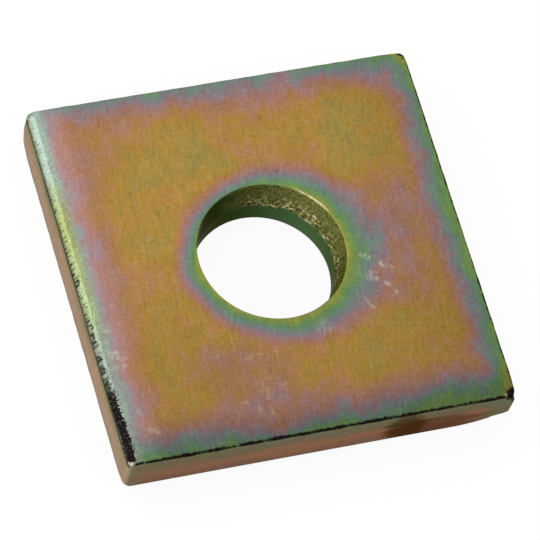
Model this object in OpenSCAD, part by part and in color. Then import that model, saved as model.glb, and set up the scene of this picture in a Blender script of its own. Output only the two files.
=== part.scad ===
// Square plate washer: one blank sheared and punched from thick steel plate, then zinc plated and
// yellow passivated. The underside lies on z = 0, the top face is at plate_t, and the hole is on
// the Z axis. Front is -Y and left is -X.

/* [Plate] */
// Side of the square
plate_side = 40; // [30:1:80]
// Thickness of the plate
plate_t = 6; // [4:0.5:12]
// Radius of the four upright corners
corner_r = 0.7; // [0.5:0.1:4]

/* [Left edge, sheared from above] */
// Width of the top edge that the shear pulled over
roll_w = 0.9; // [0.5:0.05:1.5]
// Drop of that pulled-over edge
roll_h = 0.4; // [0.1:0.05:0.5]
// Depth of the smooth sheared band under the top face, with the torn band below it
shear_h = 2.6; // [1:0.1:3.5]
// How far the torn band leans in by the underside
tear_in = 0.35; // [0.1:0.05:1]

/* [Front, back and right edges, sheared from below] */
// Width of the lower edge that the shear pulled over
under_w = 1.8; // [1.2:0.1:2.5]
// Rise of that pulled-over edge
under_h = 1.2; // [0.5:0.1:1.5]
// Width of the worn top edge, which also runs round the corners
worn_w = 0.35; // [0.2:0.05:0.5]
// Drop of the worn top edge
worn_h = 0.15; // [0.05:0.05:0.2]

/* [Hole, punched from below] */
// Diameter of the smooth punched land
hole_d = 14.2; // [9:0.1:18]
// Height of the land above the underside, with the torn wall over it
land_h = 2.7; // [1:0.1:3.5]
// How far the torn wall opens out by the top face on its narrow side
tear_narrow = 0.15; // [0.1:0.01:0.4]
// How far the torn wall opens out by the top face on its wide side
tear_wide = 0.72; // [0.5:0.02:1.2]
// Direction of the wide side, in degrees turned from +X towards +Y
tear_turn = 30; // [0:5:355]
// Width of the rim that the punch pulled in on the underside
rim_w = 0.5; // [0.2:0.05:1]
// Height of that pulled-in rim
rim_h = 0.3; // [0.1:0.05:0.5]

/* [Hidden] */
$fn = 96;
// Overrun of a cut past the faces that it opens
over = 1;
half = plate_side / 2;
hole_r = hole_d / 2;
// Torn wall of the hole: its height, its mouth in the top face, and the cone that they make
torn_h = plate_t - land_h;
mouth_r = hole_r + (tear_wide + tear_narrow) / 2;
mouth_shift = (tear_wide - tear_narrow) / 2;
torn_lean = atan(mouth_shift / torn_h);
torn_slope = (mouth_r - hole_r) / torn_h;

// What a pulled-over edge loses at a corner of a section: the corner is at the origin, with the
// metal to the right and below, and the arc runs out smoothly into the face above.
module edge_roll(w, h) {
    r = (w * w + h * h) / (2 * h);
    difference() {
        translate([-over, -h])
            square([w + over, h + over]);
        translate([w, -r])
            circle(r);
    }
}

// Upright section from the left edge to the right one
module section_across() {
    difference() {
        polygon([
            [-half + tear_in, 0],
            [half, 0],
            [half, plate_t],
            [-half, plate_t],
            [-half, plate_t - shear_h]
        ]);
        translate([-half, plate_t])
            edge_roll(roll_w, roll_h);
        translate([half, plate_t])
            mirror([1, 0])
                edge_roll(worn_w, worn_h);
        translate([half, 0])
            rotate(180)
                edge_roll(under_w, under_h);
    }
}

// Upright section from the front edge to the back one, which are alike
module section_along() {
    difference() {
        translate([-half, 0])
            square([plate_side, plate_t]);
        for (back = [0, 1])
            mirror([back, 0]) {
                translate([-half, plate_t])
                    edge_roll(worn_w, worn_h);
                translate([-half, 0])
                    mirror([0, 1])
                        edge_roll(under_w, under_h);
            }
    }
}

// What an upright corner loses: the square corner outside a round post with a worn top edge.
// The post's axis is at the origin, with the corner towards +X and +Y.
module corner_cut() {
    difference() {
        translate([0, 0, -over / 2])
            cube([corner_r + over, corner_r + over, plate_t + over]);
        rotate_extrude()
            difference() {
                translate([0, -over])
                    square([corner_r, plate_t + over]);
                translate([corner_r, plate_t])
                    mirror([1, 0])
                        edge_roll(worn_w, worn_h);
            }
    }
}

// The sheared blank: the two sections crossed, with the upright corners rounded
module blank() {
    difference() {
        intersection() {
            rotate([90, 0, 0])
                linear_extrude(height = plate_side + over, center = true)
                    section_across();
            rotate([90, 0, 90])
                linear_extrude(height = plate_side + over, center = true)
                    section_along();
        }
        for (left = [0, 1], front = [0, 1])
            mirror([left, 0, 0])
                mirror([0, front, 0])
                    translate([half - corner_r, half - corner_r, 0])
                        corner_cut();
    }
}

// The punched land, with the rim that the punch pulled in on the underside
module land() {
    rotate_extrude() {
        translate([0, -over])
            square([hole_r, plate_t + 2 * over]);
        translate([hole_r, 0])
            mirror([0, 1])
                edge_roll(rim_w, rim_h);
    }
}

// The torn wall: a cone that starts from the land's upper edge and leans to its wide side
module torn_wall() {
    translate([0, 0, land_h])
        rotate(a = torn_lean, v = [-sin(tear_turn), cos(tear_turn), 0])
            translate([0, 0, -over])
                cylinder(
                    h = torn_h + 2 * over,
                    r1 = hole_r - torn_slope * over,
                    r2 = mouth_r + torn_slope * over
                );
}

module plate_washer() {
    color("darkgoldenrod")
        difference() {
            blank();
            land();
            torn_wall();
        }
}

plate_washer();
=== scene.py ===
import math

import bpy
from mathutils import Matrix, Vector


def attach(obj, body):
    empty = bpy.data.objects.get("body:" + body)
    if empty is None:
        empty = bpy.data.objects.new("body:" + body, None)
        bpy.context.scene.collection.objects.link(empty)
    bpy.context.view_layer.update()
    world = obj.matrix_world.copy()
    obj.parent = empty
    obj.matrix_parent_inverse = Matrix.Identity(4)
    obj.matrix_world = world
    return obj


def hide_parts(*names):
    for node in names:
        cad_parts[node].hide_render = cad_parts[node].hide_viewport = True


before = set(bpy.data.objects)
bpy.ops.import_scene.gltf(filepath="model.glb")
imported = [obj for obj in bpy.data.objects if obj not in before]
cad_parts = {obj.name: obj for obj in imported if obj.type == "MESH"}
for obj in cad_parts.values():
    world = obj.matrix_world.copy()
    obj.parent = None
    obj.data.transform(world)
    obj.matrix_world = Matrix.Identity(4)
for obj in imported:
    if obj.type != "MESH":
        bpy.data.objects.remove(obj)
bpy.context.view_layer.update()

# The washer is one square blank, sheared from 6 mm steel plate and punched once. The left edge was
# sheared from above and the other three from below, and the punch came up through the underside and
# tore its way out of the top face. It is then zinc plated in a barrel and dipped in yellow passivate.
mm = 0.001
plate_side = 40 * mm
half = plate_side / 2
plate_t = 6 * mm
corner_r = 0.7 * mm
# left edge: pulled-over top, height of the smooth band, and how far the torn band leans in
roll_w, roll_h = 0.9 * mm, 0.4 * mm
shear_h, tear_in = 2.6 * mm, 0.35 * mm
# other edges: worn top and pulled-over underside
worn_w, worn_h = 0.35 * mm, 0.15 * mm
under_w, under_h = 1.8 * mm, 1.2 * mm
# hole: smooth land, torn mouth that leans to one side, pulled-in rim below and rounded lip above
hole_r = 7.1 * mm
land_h = 2.7 * mm
mouth_r = 7.535 * mm
mouth_shift = 0.285 * mm
mouth_turn = math.radians(30)
wide = Vector((math.cos(mouth_turn), math.sin(mouth_turn), 0))
rim_w, rim_h = 0.5 * mm, 0.3 * mm
lip = 0.09 * mm


def rolled(depth, width, drop):
    """How far a pulled-over edge stands back at this depth under its face."""
    radius = (width ** 2 + drop ** 2) / (2 * drop)
    if depth >= drop:
        return 0
    return width - math.sqrt(radius ** 2 - (radius - depth) ** 2)


def outline(height):
    """Left, right and front ends of the blank at this height."""
    torn = 1 - height / (plate_t - shear_h)
    left = rolled(plate_t - height, roll_w, roll_h) + max(0, tear_in * torn)
    other = rolled(plate_t - height, worn_w, worn_h) + rolled(height, under_w, under_h)
    return -half + left, half - other, -half + other


def bore(height):
    """Radius of the hole at this height, and how far it leans to its wide side."""
    torn = max(0, (height - land_h) / (plate_t - land_h))
    radius = hole_r + (mouth_r - hole_r) * torn
    radius += rolled(height, rim_w, rim_h) + rolled(plate_t - height, lip, lip)
    return radius, mouth_shift * torn


def pick(piece, test):
    """Selects the vertices whose place passes the test, with the edges between them."""
    bpy.ops.object.mode_set(mode="OBJECT")
    for part in (piece.data.polygons, piece.data.edges):
        part.foreach_set("select", [False] * len(part))
    for point in piece.data.vertices:
        point.select = test(point.co)
    bpy.ops.object.mode_set(mode="EDIT")


bpy.ops.object.select_all(action="DESELECT")
bpy.ops.mesh.primitive_plane_add(size=plate_side, location=(0, 0, plate_t))
washer = bpy.context.object
washer.name = washer.data.name = "plate_washer_finished"
bpy.ops.object.transform_apply(location=True, rotation=True, scale=True)
bpy.ops.object.mode_set(mode="EDIT")
bpy.ops.mesh.select_mode(type="VERT")
bpy.ops.mesh.select_all(action="SELECT")
bpy.ops.mesh.bevel(offset=corner_r, segments=10, affect="VERTICES")
bpy.ops.mesh.delete(type="ONLY_FACE")
# each straight side is cut in 168 steps, with a point at its middle
straight = half - corner_r * 0.99
for side in (0, 1):
    for end in (-1, 1):
        pick(washer, lambda p: p[side] * end > half - 0.01 * mm and abs(p[1 - side]) < straight)
        for cuts in (1, 83):
            bpy.ops.mesh.subdivide(number_cuts=cuts)

# the mouth of the hole: the same ring of points, drawn in to a circle just under the top face
lip_steps = [plate_t - lip * (n / 4) ** 2 for n in range(1, 5)]
torn_steps = [plate_t - lip - (plate_t - lip - land_h) * n / 26 for n in range(1, 27)]
land_steps = [land_h - (land_h - rim_h) * n / 9 for n in range(1, 10)]
rim_steps = [rim_h * (1 - n / 6) ** 2 for n in range(1, 6)]
level, *wall_steps = lip_steps + torn_steps + land_steps + rim_steps
bpy.ops.mesh.select_all(action="SELECT")
bpy.ops.mesh.duplicate()
bpy.ops.transform.tosphere(value=1, center_override=(0, 0, plate_t))
bpy.ops.object.mode_set(mode="OBJECT")
ring_r = next(p.co.xy.length for p in washer.data.vertices if p.select)
bpy.ops.object.mode_set(mode="EDIT")
radius, lean = bore(level)
grow = radius / ring_r
bpy.ops.transform.resize(value=(grow, grow, 1), center_override=(0, 0, plate_t))
bpy.ops.transform.translate(value=wide * lean + Vector((0, 0, level - plate_t)))

# the hole's wall, ring under ring: lip, torn wall, land and pulled-in rim
for height in wall_steps:
    new_radius, new_lean = bore(height)
    bpy.ops.mesh.extrude_edges_move()
    centre = wide * lean + Vector((0, 0, level))
    grow = new_radius / radius
    bpy.ops.transform.resize(value=(grow, grow, 1), center_override=centre)
    bpy.ops.transform.translate(value=wide * (new_lean - lean) + Vector((0, 0, height - level)))
    level, radius, lean = height, new_radius, new_lean

# the outside, ring under ring: pulled-over top edges, sheared faces and lower edges
level_gap = 0.001 * mm
clear_of_hole = 15 * mm
pick(washer, lambda p: p.z > plate_t - level_gap and p.xy.length > clear_of_hole)
left, right, front = outline(plate_t)
bpy.ops.transform.resize(
    value=((right - left) / plate_side, -front / half, 1), center_override=(0, 0, plate_t))
bpy.ops.transform.translate(value=((left + right) / 2, 0, 0))
top_steps = [plate_t - roll_h * (n / 10) ** 2 for n in range(1, 11)]
face_steps = [plate_t - roll_h - (plate_t - roll_h - under_h) * n / 16 for n in range(1, 17)]
low_steps = [under_h * (1 - n / 10) ** 2 for n in range(1, 11)]
level = plate_t
for height in top_steps + face_steps + low_steps:
    new_left, new_right, new_front = outline(height)
    bpy.ops.mesh.extrude_edges_move()
    middle = (left + right) / 2
    bpy.ops.transform.resize(
        value=((new_right - new_left) / (right - left), new_front / front, 1),
        center_override=(middle, 0, level))
    bpy.ops.transform.translate(value=((new_left + new_right) / 2 - middle, 0, height - level))
    level, left, right, front = height, new_left, new_right, new_front

# the two flat faces: the outline is drawn in, ring by ring, until it is round, and joined to the hole
rings = 12
near_hole = 8 * mm
bridge_gap = 0.02 * mm
for face, lift in ((plate_t, 20 * mm), (0, -20 * mm)):
    hole_rim, lean = bore(face)
    centre = wide * lean + Vector((0, 0, face))
    pick(washer, lambda p: abs(p.z - face) < level_gap and p.xy.length > clear_of_hole)
    for n in range(rings):
        bpy.ops.mesh.extrude_edges_move()
        bpy.ops.transform.tosphere(value=1 / (rings - n), center_override=centre)
        bpy.ops.object.mode_set(mode="OBJECT")
        reaches = [(p.co - centre).length for p in washer.data.vertices if p.select]
        mean = sum(reaches) / len(reaches)
        bpy.ops.object.mode_set(mode="EDIT")
        shrink = (mean + (hole_rim - mean) / (rings - n)) / mean
        bpy.ops.transform.resize(value=(shrink, shrink, 1), center_override=centre)
    # the ring is lifted clear for a clean bridge, and then set back in its face
    bpy.ops.transform.translate(value=(0, 0, lift))
    lifted = face + lift
    pick(washer, lambda p: p.xy.length < near_hole
         and min(abs(p.z - face), abs(p.z - lifted)) < bridge_gap)
    bpy.ops.mesh.bridge_edge_loops()
    pick(washer, lambda p: abs(p.z - lifted) < bridge_gap)
    bpy.ops.transform.translate(value=(0, 0, -lift))
bpy.ops.mesh.select_all(action="SELECT")
bpy.ops.mesh.remove_doubles(threshold=0.0005 * mm)
bpy.ops.mesh.normals_make_consistent(inside=False)
bpy.ops.object.mode_set(mode="OBJECT")

# the two right corners: burred out at mid height, pulled further over at the underside, knocked on top
for side in (-1, 1):
    post, under, knock = (Vector((half / mm - inset, side * (half / mm - inset), z)) * mm
                          for inset, z in ((0.205, 3.2), (0.6, 0.8), (0.5, 6)))
    for test, push, reach, falloff in (
        (lambda p: (p - post).xy.length < 0.08 * mm and abs(p.z - post.z) < 1.8 * mm,
         (0.14, 0.14 * side, 0), 0.45, "SMOOTH"),
        (lambda p: (p - under).length < 0.9 * mm, (-0.1, -0.1 * side, 0.7), 4.5, "SHARP"),
        (lambda p: (p - knock).length < 0.6 * mm, (-0.06, -0.06 * side, -0.06), 1.2, "SHARP"),
    ):
        pick(washer, test)
        bpy.ops.transform.translate(value=Vector(push) * mm, use_proportional_edit=True,
                                    proportional_size=reach * mm, proportional_edit_falloff=falloff)
    pick(washer, lambda p: (p - under).xy.length < 1.5 * mm and p.z < 2.2 * mm)
    bpy.ops.mesh.vertices_smooth(factor=0.5, repeat=4)
bpy.ops.object.mode_set(mode="OBJECT")

# what shearing, punching and handling leave: grains torn from the hole's wall, and worn and nicked edges
torn_grains = washer.vertex_groups.new(name="torn wall")
edges = washer.vertex_groups.new(name="edges")
tear_side = Vector((0.926, 0.377, 0))
lip_fade, land_fade, tear_fade = 0.25 * mm, 0.3 * mm, 4 * mm
edge_inset, edge_depth = 1.2 * mm, 0.9 * mm
for point in washer.data.vertices:
    x, y, z = point.co
    if point.co.xy.length < near_hole:
        depth = min(1, max(0, (plate_t - z) / lip_fade), max(0, (z - land_h) / land_fade))
        depth *= min(1, max(0.1, 0.5 + point.co.dot(tear_side) / tear_fade))
        torn_grains.add([point.index], depth, "REPLACE")
    else:
        inset = half - max(abs(x), abs(y))
        near = max(0, 1 - inset / edge_inset) * max(0, 1 - min(plate_t - z, z) / edge_depth)
        edges.add([point.index], near, "REPLACE")
for name, grain, height, group, outwards in (
    ("torn grains", 0.42 * mm, 0.30 * mm, "torn wall", 0.5),
    ("torn grit", 0.16 * mm, 0.14 * mm, "torn wall", 0.5),
    ("worn edge", 1.3 * mm, 0.10 * mm, "edges", 0.95),
):
    cloud = bpy.data.textures.new(name, type="CLOUDS")
    cloud.noise_scale = grain
    cloud.noise_depth = 2
    displace = washer.modifiers.new(name, "DISPLACE")
    displace.texture = cloud
    displace.texture_coords = "LOCAL"
    displace.vertex_group = group
    displace.mid_level = outwards
    displace.strength = height
    bpy.ops.object.modifier_apply(modifier=displace.name)
bpy.ops.object.shade_smooth_by_angle(angle=math.radians(35))


# Yellow-passivated zinc: a thin, hard chromate film over bright zinc. It shows gold where it is even,
# and rose, slate, teal and green by the edges, where the film is thicker. The metal under it is satin.
def linear(code):
    """An sRGB hex colour in linear light."""
    parts = [int(code[n:n + 2], 16) / 255 for n in (1, 3, 5)]
    return [c / 12.92 if c <= 0.04045 else ((c + 0.055) / 1.055) ** 2.4 for c in parts] + [1]


def add(tree, kind, *feeds, stops=(), **settings):
    """Adds a node and fills or links its inputs in order. A capital names a socket, else a property."""
    made = tree.nodes.new("ShaderNode" + kind)
    named = {}
    for name, value in settings.items():
        if name[0].isupper():
            named[name.replace("_", " ")] = value
        else:
            setattr(made, name, value)
    fills = list(zip(made.inputs, feeds))
    fills += [(made.inputs[name], value) for name, value in named.items()]
    for socket, value in fills:
        if isinstance(value, bpy.types.NodeSocket):
            tree.links.new(value, socket)
        else:
            socket.default_value = value
    for n, (place, code) in enumerate(stops):
        elements = made.color_ramp.elements
        stop = elements[n] if n < len(elements) else elements.new(1)
        stop.position = (place - stops[0][0]) / (stops[-1][0] - stops[0][0])
        stop.color = linear(code)
    return next((out for out in made.outputs if out.enabled), made)


zinc = bpy.data.materials.new("yellow passivated zinc")
zinc.use_nodes = True
coat = zinc.node_tree
coat.nodes.clear()
soft = "SMOOTHSTEP"

# places on the washer in millimetres: in from each edge, below the top face, and out from the hole
spot = add(coat, "TexCoord").node.outputs["Object"]
spot = add(coat, "Mapping", spot, Scale=[1 / mm] * 3)
x, y, z = add(coat, "SeparateXYZ", spot).node.outputs
in_left = add(coat, "Math", x, half / mm, operation="ADD")
in_right = add(coat, "Math", half / mm, x, operation="SUBTRACT")
in_front = add(coat, "Math", y, half / mm, operation="ADD")
in_back = add(coat, "Math", half / mm, y, operation="SUBTRACT")
below = add(coat, "Math", plate_t / mm, z, operation="SUBTRACT")
plan = add(coat, "VectorMath", spot, (1, 1, 0), operation="MULTIPLY")
from_mouth = add(coat, "VectorMath", plan, wide * mouth_shift / mm, operation="DISTANCE")
# the film on the face meets the hole's wall here, a hair outside the torn mouth
mouth = mouth_r / mm + 0.015


def oval(feed, centre, size, turn=0):
    """Distance from the centre of an oval, 1 at its outline. Sizes are half sizes in millimetres."""
    away = add(coat, "Mapping", feed, Location=centre, Rotation=(0, 0, math.radians(turn)), Scale=size,
               vector_type="TEXTURE")
    return add(coat, "VectorMath", away, operation="LENGTH")


# unevenness of the finish, each with its turn in degrees and its size in mm. The steel's rolling lines
# run along y, turned by 8 degrees. Zinc's own grain is too fine to show, so it is drawn as coarse as this.
uneven = {}
for name, turn, size, detail in (
    ("drip", -8, (6, 7, 6), 2),
    ("blotch", -8, (1.7, 2.5, 1.7), 3),
    ("rolled", -8, (0.33, 1.6, 0.33), 3),
    ("fleck", -8, (0.45, 0.75, 0.45), 2),
    ("grain", 0, (0.35, 0.35, 0.35), 2),
    ("scratch", -8, (0.13, 9, 0.5), 1),
    ("cross scratch", 63, (0.14, 8, 0.5), 1),
    ("dash", -3, (0.15, 1.4, 0.5), 1),
    ("cross dash", 88, (0.15, 1.5, 0.5), 1),
    ("grit", 0, (0.16, 0.16, 0.16), 1),
    ("tick", 24, (0.9, 0.17, 0.9), 1),
    ("sheared", 0, (7, 7, 0.9), 3),
):
    place = add(coat, "Mapping", spot, Rotation=(0, 0, math.radians(turn)), Scale=size,
                vector_type="TEXTURE")
    pattern = add(coat, "TexNoise", Vector=place, Scale=1, Detail=detail)
    uneven[name] = add(coat, "Math", pattern, 0.5, operation="SUBTRACT")

# order of the film: 0 in the even gold, rising towards each edge of the plate and towards the hole
ease = 0.12
film = add(coat, "Math", from_mouth, mouth, operation="SUBTRACT")
ring_start = add(coat, "Math", x, -0.3, y, operation="MULTIPLY_ADD")
ring_start = add(coat, "MapRange", ring_start, 2.3, 7, 1.10, 0.88)
ring_fall = add(coat, "MapRange", x, -4, 7, -0.36, -0.23)
film = add(coat, "Math", film, ring_fall, ring_start, operation="MULTIPLY_ADD")
for inset, start, fall in (
    (in_left, 0.78, 0.14), (in_right, 1.00, 0.25), (in_front, 0.86, 0.16), (in_back, 0.70, 0.16),
):
    order = add(coat, "Math", inset, -fall, start, operation="MULTIPLY_ADD")
    film = add(coat, "Math", film, order, ease, operation="SMOOTH_MAX")
film = add(coat, "Math", film, 0, ease, operation="SMOOTH_MAX")

# broad rosy and straw-coloured areas: centre, half width and half length, order
for place, half_width, half_length, order in (
    ((14, -0.5), 5, 12, 0.28), ((-5.5, -13), 6.5, 5.5, 0.26), ((-13, 14.5), 4.5, 6, 0.14),
    ((2.5, 16.5), 5, 4, 0.12), ((12.5, 12), 5, 6, -0.10), ((8, -11.5), 7, 4, -0.06),
    ((-11, 6), 6, 9, -0.06), ((15, -19), 8, 3.5, 0.18), ((-4, -18), 7, 3, -0.18),
    ((14, 19.5), 8, 3, 0.10), ((-4, 10), 6, 6, -0.14), ((2.5, -17.5), 4, 3, -0.14),
    ((-18, 14), 3, 4, -0.10), ((-10, 18.5), 4, 3, -0.10), ((10.5, 6), 3, 3, 0.10),
    ((10.5, -6.5), 3, 3, 0.12),
):
    away = oval(plan, (*place, 0), (half_width, half_length, 1))
    area = add(coat, "MapRange", away, 1, 0.3, 0, order, interpolation_type=soft)
    film = add(coat, "Math", film, area, operation="ADD")

# the film is patchy in the middle of the plate, and more even by the hole and the left edge
patchy = 0
for name, amount in (
    ("drip", 0.65), ("blotch", 0.63), ("rolled", 0.15), ("fleck", 0.16), ("grain", 0.02),
):
    patchy = add(coat, "Math", uneven[name], amount, patchy, operation="MULTIPLY_ADD")
for feed, near, far in ((from_mouth, 8, 12), (in_left, 1, 6)):
    even = add(coat, "MapRange", feed, near, far, 0.45, 1)
    patchy = add(coat, "Math", patchy, even, operation="MULTIPLY")
film = add(coat, "Math", film, patchy, operation="ADD")

# the film goes no further than green along the edges, but turns yellow by the hole and the right corners
most = add(coat, "MapRange", x, 0, 14, 0.86, 0.92)
most = add(coat, "MapRange", from_mouth, 9, 11, 1.4, most)
film = add(coat, "Math", film, most, 0.08, operation="SMOOTH_MIN")
for corner, reach, order in (((20.5, -18.5, 0), 3.4, 0.22), ((20, 20, 0), 2.2, 0.16)):
    away = oval(plan, corner, (reach, reach, 1))
    area = add(coat, "MapRange", away, 1, 0.3, 0, order, interpolation_type=soft)
    film = add(coat, "Math", film, area, operation="ADD")

# colours of the film by its order
colour = add(coat, "ValToRGB", add(coat, "MapRange", film, -0.32, 1.4), stops=(
    (-0.32, "#9E904C"), (-0.12, "#A98D46"), (0.00, "#B1893E"), (0.12, "#B0824D"), (0.24, "#AB7C5D"),
    (0.38, "#A37972"), (0.48, "#957C7F"), (0.58, "#808284"), (0.68, "#728A7C"), (0.80, "#6A8E64"),
    (0.92, "#749251"), (1.02, "#889646"), (1.15, "#988E3C"), (1.27, "#7A6428"), (1.40, "#2E1E14")))

# pale mint on the pulled-over left edge, partly bare zinc through a thin film and partly a painted
# highlight: mint at the back, yellow-green in the middle and grey-green at the front
mint = add(coat, "Math", uneven["drip"], 12, y, operation="MULTIPLY_ADD")
mint = add(coat, "ValToRGB", add(coat, "MapRange", mint, -9, 14), stops=(
    (-9, "#8A978B"), (-3, "#919D6F"), (7, "#909857"), (14, "#92A497")))
thin = add(coat, "MapRange", in_left, 2.0, 0.7, 0, 0.8, interpolation_type=soft)
colour = add(coat, "MixRGB", thin, colour, mint)

# pale and dark flecks in the film
for low, high, amount, code in ((0.06, 0.24, 0.25, "#A3A584"), (-0.08, -0.25, 0.25, "#7C5A32")):
    flecks = add(coat, "MapRange", uneven["fleck"], low, high, 0, amount, interpolation_type=soft)
    colour = add(coat, "MixRGB", flecks, colour, linear(code))

# tone of the film, with the rolling lines and the grain of the zinc in it, and painted light: a painted
# highlight inside the left edge, painted shade on its rim and along the front edge, and the face painted
# lighter towards the back and darker towards the right
specks = add(coat, "Math", uneven["grit"], thin, operation="MULTIPLY")
tone = add(coat, "Math", specks, 1.4, 1, operation="MULTIPLY_ADD")
for feed, near, far, low, high in (
    (in_left, 4.5, 1.3, 1.0, 1.48), (in_left, 0.2, 1.1, 0.62, 1.0), (in_front, 0.2, 5.0, 0.58, 0.85),
    (in_front, 4.0, 22.0, 0.94, 1.10), (in_right, 3.0, 16.0, 0.86, 1.0),
    (uneven["blotch"], -0.25, 0.25, 0.94, 1.06), (uneven["rolled"], -0.25, 0.25, 0.93, 1.07),
    (uneven["grain"], -0.25, 0.25, 0.92, 1.08),
):
    part = add(coat, "MapRange", feed, near, far, low, high, interpolation_type=soft)
    tone = add(coat, "Math", tone, part, operation="MULTIPLY")
colour = add(coat, "VectorMath", colour, Scale=tone, operation="SCALE")

# handling marks on the faces are broken up by the steel's rolling lines
broken = add(coat, "Math", uneven["rolled"], 1.5, uneven["grain"], operation="MULTIPLY_ADD")
broken = add(coat, "MapRange", broken, -0.2, 0.12, 0.1, 1.0)


def handled(marks, lines, edge, strength_by_drip):
    """Marks by place, turn, half width, half length and strength, with fine lines of two kinds all over."""
    worn = 0
    for place, turn, half_width, half_length, strength in marks:
        away = oval(plan, (*place, 0), (half_width, half_length, 1), turn)
        mark = add(coat, "MapRange", away, 1.1, 0.3, 0, strength, interpolation_type=soft)
        worn = add(coat, "Math", worn, mark, operation="MAXIMUM")
    worn = add(coat, "Math", worn, broken, operation="MULTIPLY")
    where = add(coat, "MapRange", uneven["drip"], *strength_by_drip)
    for name in lines:
        line = add(coat, "MapRange", uneven[name], *edge, 0, 1, interpolation_type=soft)
        line = add(coat, "Math", line, where, operation="MULTIPLY")
        worn = add(coat, "Math", worn, line, operation="MAXIMUM")
    return worn


# pale scuffs, most of them right of the hole and on the left edge, with long fine scratches
scuffs = handled((
    ((9.1, -2.0), 79, 0.3, 0.6, 0.5), ((9.9, -2.4), -81, 0.25, 0.8, 0.55),
    ((10.8, -3.4), 35, 0.35, 0.7, 0.7), ((11.3, -3.7), 71, 0.28, 0.8, 0.5),
    ((9.4, -4.1), 79, 0.4, 0.8, 0.6), ((9.4, -4.7), 74, 0.4, 1.0, 0.6),
    ((10.7, -5.6), 49, 0.3, 0.7, 0.6), ((11.4, -6.7), 44, 0.25, 0.6, 0.45),
    ((8.0, -6.8), 44, 0.3, 0.6, 0.4), ((8.4, -7.7), 44, 0.3, 0.6, 0.5),
    ((-18.5, -5.4), 54, 0.35, 0.6, 0.5), ((-18.2, -7.9), 74, 0.4, 1.1, 0.6),
    ((-18.0, -8.5), 72, 0.35, 1.2, 0.6), ((-18.1, -9.4), 85, 0.4, 1.1, 0.5),
    ((-16.7, -16.8), 70, 0.5, 1.5, 0.25), ((3.0, -9.0), -6, 1.2, 1.2, 0.25),
), ("scratch", "cross scratch"), (0.15, 0.26), (-0.05, 0.15, 0.05, 0.20))
# brassy scratches in front of the hole, with short dashes
brassy = handled((
    ((-2.5, -11.3), -4, 0.20, 1.4, 0.30), ((-4.8, -14.1), -15, 0.20, 1.1, 0.35),
    ((-4.5, -15.0), -10, 0.25, 0.9, 0.40), ((-4.6, -16.9), 7, 0.25, 0.9, 0.40),
    ((-5.7, -16.6), 0, 0.25, 0.8, 0.40), ((-8.5, -10.2), 94, 0.20, 1.6, 0.25),
    ((-5.7, -11.0), 92, 0.20, 1.8, 0.30), ((-4.3, -10.7), 88, 0.20, 1.4, 0.25),
    ((-7.0, -15.6), 89, 0.25, 0.6, 0.35), ((-6.5, -8.7), -5, 0.20, 0.7, 0.30),
    ((-3.7, -13.5), 81, 0.20, 1.1, 0.30), ((-2.6, -14.3), 121, 0.20, 0.6, 0.30),
), ("dash", "cross dash"), (0.13, 0.28), (-0.1, 0.1, 0.25, 0.08))
for mask, code in ((scuffs, "#B8B8A6"), (brassy, "#B4AC7C")):
    colour = add(coat, "MixRGB", mask, colour, linear(code))
# clusters of small brown pits
pits = add(coat, "MapRange", uneven["grit"], 0.05, 0.2)
for place, turn, half_width, half_length in (
    ((15.6, 4.7), 75, 0.5, 2.0), ((2.4, 9.0), 78, 0.4, 1.6), ((12.6, 12.6), 70, 0.7, 1.1),
    ((-12.2, 4.6), 75, 0.6, 1.6),
):
    away = oval(plan, (*place, 0), (half_width, half_length, 1), turn)
    mark = add(coat, "MapRange", away, 1.1, 0.4, 0, 0.6, interpolation_type=soft)
    mark = add(coat, "Math", mark, pits, operation="MULTIPLY")
    colour = add(coat, "MixRGB", mark, colour, linear("#5E4022"))

# sheared faces. The left one is burnished above and torn below, and the others are the other way up.
# The front, right and back faces are painted darker than the left one, as painted shade.
depth = add(coat, "Math", uneven["sheared"], 3.2, below, operation="MULTIPLY_ADD")
depth = add(coat, "Math", uneven["grain"], 0.4, depth, operation="MULTIPLY_ADD")
depth = add(coat, "MapRange", depth, 0, plate_t / mm)
shaded_front_side = add(coat, "ValToRGB", depth, stops=(
    (0.0, "#55533F"), (0.4, "#74735F"), (1.6, "#7A6F5C"), (2.3, "#8A6E5A"), (2.8, "#966E5A"),
    (3.6, "#8F6A58"), (4.2, "#816458"), (6.0, "#786254")))
for place, size, strength, code in (
    ((20, -20, 3.5), (4.5, 4, 6), 0.75, "#6C7460"), ((-20, -20, 4), (3, 4, 4), 0.6, "#7C7862"),
    ((12.0, -20, 2.6), (6.5, 4, 2.4), 0.65, "#50302A"), ((8.8, -20, 3.2), (2.6, 4, 4.0), 0.7, "#3C261C"),
):
    stain = add(coat, "Math", uneven["sheared"], 1.2, oval(spot, place, size), operation="MULTIPLY_ADD")
    stain = add(coat, "MapRange", stain, 1.05, 0.4, 0, strength, interpolation_type=soft)
    shaded_front_side = add(coat, "MixRGB", stain, shaded_front_side, linear(code))
left_side = add(coat, "ValToRGB", depth, stops=(
    (0.0, "#74745A"), (0.5, "#8C8A70"), (1.0, "#A39C82"), (1.8, "#B4A488"), (2.6, "#C2A68E"),
    (3.6, "#C4A58E"), (6.0, "#BEA08A")))
from_end = add(coat, "Math", in_front, in_back, operation="MINIMUM")
on_left = add(coat, "Math", from_end, in_left, operation="SUBTRACT")
on_left = add(coat, "MapRange", on_left, -0.5, 0.2)
sides = add(coat, "MixRGB", on_left, shaded_front_side, left_side)
side_tone = add(coat, "MapRange", uneven["grain"], -0.25, 0.25, 0.85, 1.15)
sides = add(coat, "VectorMath", sides, Scale=side_tone, operation="SCALE")
on_side = add(coat, "MapRange", below, 0.2, 0.5, 0, 1, interpolation_type=soft)
off_floor = add(coat, "MapRange", z, 0.05, 0.6, 0, 1, interpolation_type=soft)
on_side = add(coat, "Math", on_side, off_floor, operation="MULTIPLY")
colour = add(coat, "MixRGB", on_side, colour, sides)
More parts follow.
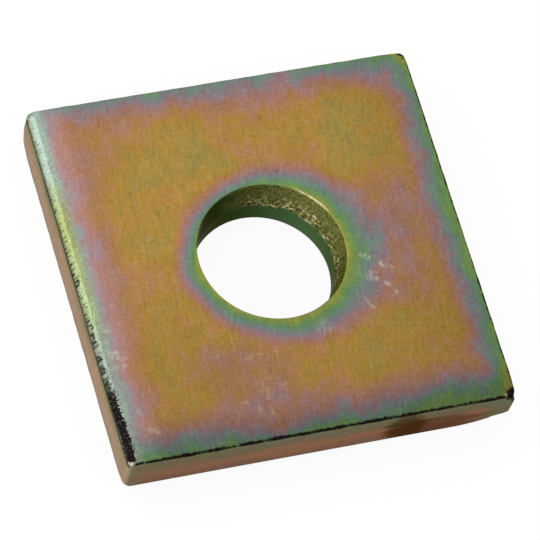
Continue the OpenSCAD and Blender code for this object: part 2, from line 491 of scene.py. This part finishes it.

# a black line along the front arris, thinner on the right one and nearly none on the back, painted as
# the dark reflection that edge shows, and burnt plating as black spots on the two right corners
arris = in_front
for inset, less in ((in_right, 0.02), (in_back, 0.17)):
    inset = add(coat, "Math", inset, less, operation="ADD")
    arris = add(coat, "Math", arris, inset, operation="MINIMUM")
for feed, amount in ((below, 0.7), (uneven["blotch"], 0.25), (uneven["grain"], 0.25)):
    arris = add(coat, "Math", feed, amount, arris, operation="MULTIPLY_ADD")
burnt_and_dark_reflection = add(coat, "MapRange", arris, 0.34, 0.18, 0, 1, interpolation_type=soft)
for corner, reach in (((20, -20, 6), 1.4), ((20, 20, 6), 1.0)):
    away = add(coat, "VectorMath", spot, corner, operation="DISTANCE")
    away = add(coat, "Math", uneven["grain"], 1.2, away, operation="MULTIPLY_ADD")
    mark = add(coat, "MapRange", away, reach, 0.6 * reach, 0, 1, interpolation_type=soft)
    burnt_and_dark_reflection = add(coat, "Math", burnt_and_dark_reflection, mark, operation="MAXIMUM")

# on the left edge: a dark line of painted shade under it, short ticks across it, and a black streak of
# painted dark reflection at its front end
over_left = add(coat, "Math", in_left, below, operation="SUBTRACT")
over_left = add(coat, "Math", uneven["grain"], 0.4, over_left, operation="MULTIPLY_ADD")
only_left = add(coat, "Math", from_end, 2.5, operation="MULTIPLY")
only_left = add(coat, "Math", only_left, in_left, operation="SUBTRACT")
only_left = add(coat, "MapRange", only_left, 0, 0.4)
only_top = add(coat, "MapRange", below, 1.4, 1.1)
only_left = add(coat, "Math", only_left, only_top, operation="MULTIPLY")
rare = add(coat, "MapRange", y, 13, -6, 0.17, -0.05)
tick = add(coat, "Math", uneven["tick"], rare, operation="SUBTRACT")
tick = add(coat, "MapRange", tick, 0, 0.07, 0, 0.85)
front_end = add(coat, "Math", uneven["grain"], 6, y, operation="MULTIPLY_ADD")
front_end = add(coat, "MapRange", front_end, -9.5, -12.5)
gaps = add(coat, "MapRange", uneven["grit"], 0.08, 0.28, 1, 0.6)
front_end = add(coat, "Math", front_end, gaps, operation="MULTIPLY")
narrow = add(coat, "MapRange", y, -16, -10.5, 0, 0.35)
hairs = add(coat, "Math", uneven["fleck"], 0.7, over_left, operation="MULTIPLY_ADD")
ragged = add(coat, "Math", uneven["grit"], 0.9, over_left, operation="MULTIPLY_ADD")
ragged = add(coat, "Math", ragged, narrow, operation="ADD")
blur = 0.08
for strength, feed, outer, inner in (
    (0.75, over_left, -0.75, -0.36), (tick, hairs, -0.45, 0.34), (front_end, ragged, -0.28, 0.88),
):
    mark = add(coat, "MapRange", feed, outer - blur, outer + blur)
    inside = add(coat, "MapRange", feed, inner + blur, inner - blur)
    for mask in (inside, only_left, strength):
        mark = add(coat, "Math", mark, mask, operation="MULTIPLY")
    burnt_and_dark_reflection = add(coat, "Math", burnt_and_dark_reflection, mark, operation="MAXIMUM")
# the black is burnt plating at the right corners, and painted dark reflection along the arrises and left
# edge
colour = add(coat, "MixRGB", burnt_and_dark_reflection, colour, linear("#1A1314"))

# painted highlights on the front corners: a pale spot on the left one, and a small one on the knock at the
# right
for corner, reach, strength in (((-20, -20, 5.9), 0.62, 0.85), ((18.8, -19.7, 6), 0.20, 0.3)):
    knock = add(coat, "VectorMath", spot, corner, operation="DISTANCE")
    knock = add(coat, "Math", uneven["grain"], 0.8, knock, operation="MULTIPLY_ADD")
    knock = add(coat, "MapRange", knock, reach, 0.55 * reach, 0, strength, interpolation_type=soft)
    colour = add(coat, "MixRGB", knock, colour, linear("#DCD2C0"))

# wall of the hole: a smooth dark green land below, torn olive metal above with grains by the land, painted
# glints on those grains at the back right, and painted shade that darkens the wall away from there
in_hole = add(coat, "MapRange", from_mouth, mouth + 0.05, mouth - 0.05)
torn_line = add(coat, "Math", uneven["blotch"], 1.2, land_h / mm, operation="MULTIPLY_ADD")
torn_line = add(coat, "Math", uneven["grain"], 0.7, torn_line, operation="MULTIPLY_ADD")
above_land = add(coat, "Math", z, torn_line, operation="SUBTRACT")
torn = add(coat, "MapRange", above_land, -0.1, 0.1)
facing = add(coat, "VectorMath", plan, tear_side * mm / hole_r, operation="DOT_PRODUCT")
tear_end = add(coat, "Math", uneven["blotch"], 0.8, facing, operation="MULTIPLY_ADD")
tear_end = add(coat, "MapRange", tear_end, 0.0, 0.3)
torn = add(coat, "Math", torn, tear_end, operation="MULTIPLY")
# the grains are painted brighter on the back right of the wall, as painted glints
bright = add(coat, "MapRange", above_land, 2.2, 0.4, 0.25, 1.0, interpolation_type=soft)
lit = add(coat, "MapRange", facing, 0.0, 0.5, 0.1, 1.0)
for mask in (lit, uneven["grain"]):
    bright = add(coat, "Math", bright, mask, operation="MULTIPLY")
torn_tone = add(coat, "ValToRGB", add(coat, "MapRange", bright, -0.16, 0.16), stops=(
    (0.0, "#3C361A"), (0.35, "#6E703E"), (0.6, "#808448"), (0.8, "#B0A86E"), (1.0, "#E6DAB2")))
wall = add(coat, "MixRGB", torn, linear("#4C6A48"), torn_tone)
# painted shade: the wall is painted darker away from its back right side
painted_wall_shade = add(coat, "Math", facing, 0, operation="MAXIMUM")
painted_wall_shade = add(coat, "Math", painted_wall_shade, 2.5, operation="POWER")
shaded = add(coat, "MapRange", facing, -0.6, 0.1, 0.12, 0.38)
painted_wall_shade = add(coat, "Math", painted_wall_shade, 0.66, shaded, operation="MULTIPLY_ADD")
wall = add(coat, "VectorMath", wall, Scale=painted_wall_shade, operation="SCALE")
colour = add(coat, "MixRGB", in_hole, colour, wall)

# a painted highlight on the lip, at the back right of the hole
painted_lip_highlight = add(coat, "VectorMath", plan, (5.85, 4.91, 0), operation="DISTANCE")
painted_lip_highlight = add(coat, "MapRange", painted_lip_highlight, 2.6, 0.8, 0, 0.9, interpolation_type=soft)
for feed, near, far in (
    (from_mouth, mouth + 0.15, mouth + 0.07), (z, 5.80, 5.88), (uneven["blotch"], -0.15, 0.08),
):
    part = add(coat, "MapRange", feed, near, far)
    painted_lip_highlight = add(coat, "Math", painted_lip_highlight, part, operation="MULTIPLY")
colour = add(coat, "MixRGB", painted_lip_highlight, colour, linear("#DCD09C"))

# satin metal, duller where it is scuffed, sheared, burnt or painted dark as a reflection
rough = add(coat, "MapRange", uneven["blotch"], -0.25, 0.25, 0.24, 0.38)
for mask, more in ((scuffs, 0.15), (on_side, 0.12), (burnt_and_dark_reflection, 0.2)):
    rough = add(coat, "Math", mask, more, rough, operation="MULTIPLY_ADD")
relief = uneven["grain"]
for feed, height in ((uneven["blotch"], 2.5), (uneven["rolled"], 0.8), (scuffs, -0.4)):
    relief = add(coat, "Math", feed, height, relief, operation="MULTIPLY_ADD")
relief = add(coat, "Bump", Strength=1, Distance=0.012 * mm, Height=relief)
surface = add(coat, "BsdfPrincipled", Base_Color=colour, Metallic=1, Roughness=rough, Normal=relief,
              Specular_Tint=linear("#B4AC9C"))
add(coat, "OutputMaterial", surface)
washer.data.materials.clear()
washer.data.materials.append(zinc)
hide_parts("plate_washer")
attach(washer, "root")

# The floor is one sheet of plain white paper that the washer lies on, far wider than the view. The
# camera and reflections see it nearly white, and it keeps a faint shadow of the washer.
bpy.ops.object.select_all(action="DESELECT")
bpy.ops.mesh.primitive_plane_add(size=6, location=(0, 0, -0.01 * mm))
floor = bpy.context.object
floor.name = "floor"
bpy.ops.object.transform_apply(location=True, rotation=True, scale=True)
paper = bpy.data.materials.new("white paper")
paper.use_nodes = True
sheet = paper.node_tree
sheet.nodes.clear()
matt = add(sheet, "BsdfDiffuse", Color=linear("#F4F4F4"))
white = add(sheet, "Emission", linear("#FFFFFF"), 1.0)
rays = add(sheet, "LightPath").node.outputs
seen = add(sheet, "Math", rays["Is Camera Ray"], rays["Is Glossy Ray"], operation="MAXIMUM")
seen = add(sheet, "Math", seen, rays["Is Transmission Ray"], operation="MAXIMUM")
shown_white = 0.92
seen = add(sheet, "Math", seen, shown_white, operation="MULTIPLY")
add(sheet, "OutputMaterial", add(sheet, "MixShader", seen, matt, white))
floor.data.materials.append(paper)

# Soft studio light: an even white surround, with a softbox over the left back corner and a small lamp
# low at the front left.
world = bpy.data.worlds.new("white surround")
bpy.context.scene.world = world
world.use_nodes = True
air = world.node_tree
air.nodes.clear()
add(air, "OutputWorld", add(air, "Background", linear("#FFFFFF"), 1.0))
for name, toward, reach, size, radiance in (
    ("softbox", (-0.55, 0.38, 0.74), 260 * mm, 240 * mm, 1.3),
    ("front lamp", (-0.68, -0.53, 0.465), 300 * mm, 70 * mm, 5.0),
):
    lamp = bpy.data.lights.new(name, "AREA")
    lamp.shape = "DISK"
    lamp.size = size
    disc = math.pi * size ** 2 / 4
    lamp.energy = radiance * math.pi * disc
    stand = bpy.data.objects.new(name, lamp)
    bpy.context.scene.collection.objects.link(stand)
    toward = Vector(toward).normalized()
    facing_in = toward.to_track_quat("Z", "Y").to_matrix().to_4x4()
    stand.matrix_world = Matrix.Translation(toward * reach) @ facing_in
    stand.visible_camera = False
bpy.context.scene.view_settings.view_transform = "Standard"

# The camera stands where the photograph's stood: half a metre off, to the front left and high up, with a
# long lens and a little roll.
azimuth, elevation, roll = (math.radians(a) for a in (-32.494, 59.990, 19.037))
distance = 514.65 * mm
back = Vector((math.sin(azimuth) * math.cos(elevation), -math.cos(azimuth) * math.cos(elevation),
               math.sin(elevation)))
level_right = Vector((math.cos(azimuth), math.sin(azimuth), 0))
level_up = back.cross(level_right)
right = math.cos(roll) * level_right + math.sin(roll) * level_up
up = back.cross(right)
lens = bpy.data.cameras.new("camera")
lens.lens = 342.4
lens.sensor_width = 36
camera = bpy.data.objects.new("camera", lens)
bpy.context.scene.collection.objects.link(camera)
aim = Vector((1.298 * mm, 1.106 * mm, 0)) + right * 0.03 * mm - up * 0.07 * mm
stance = Matrix((right, up, back)).transposed().to_4x4()
camera.matrix_world = Matrix.Translation(aim + back * distance) @ stance
bpy.context.scene.camera = camera
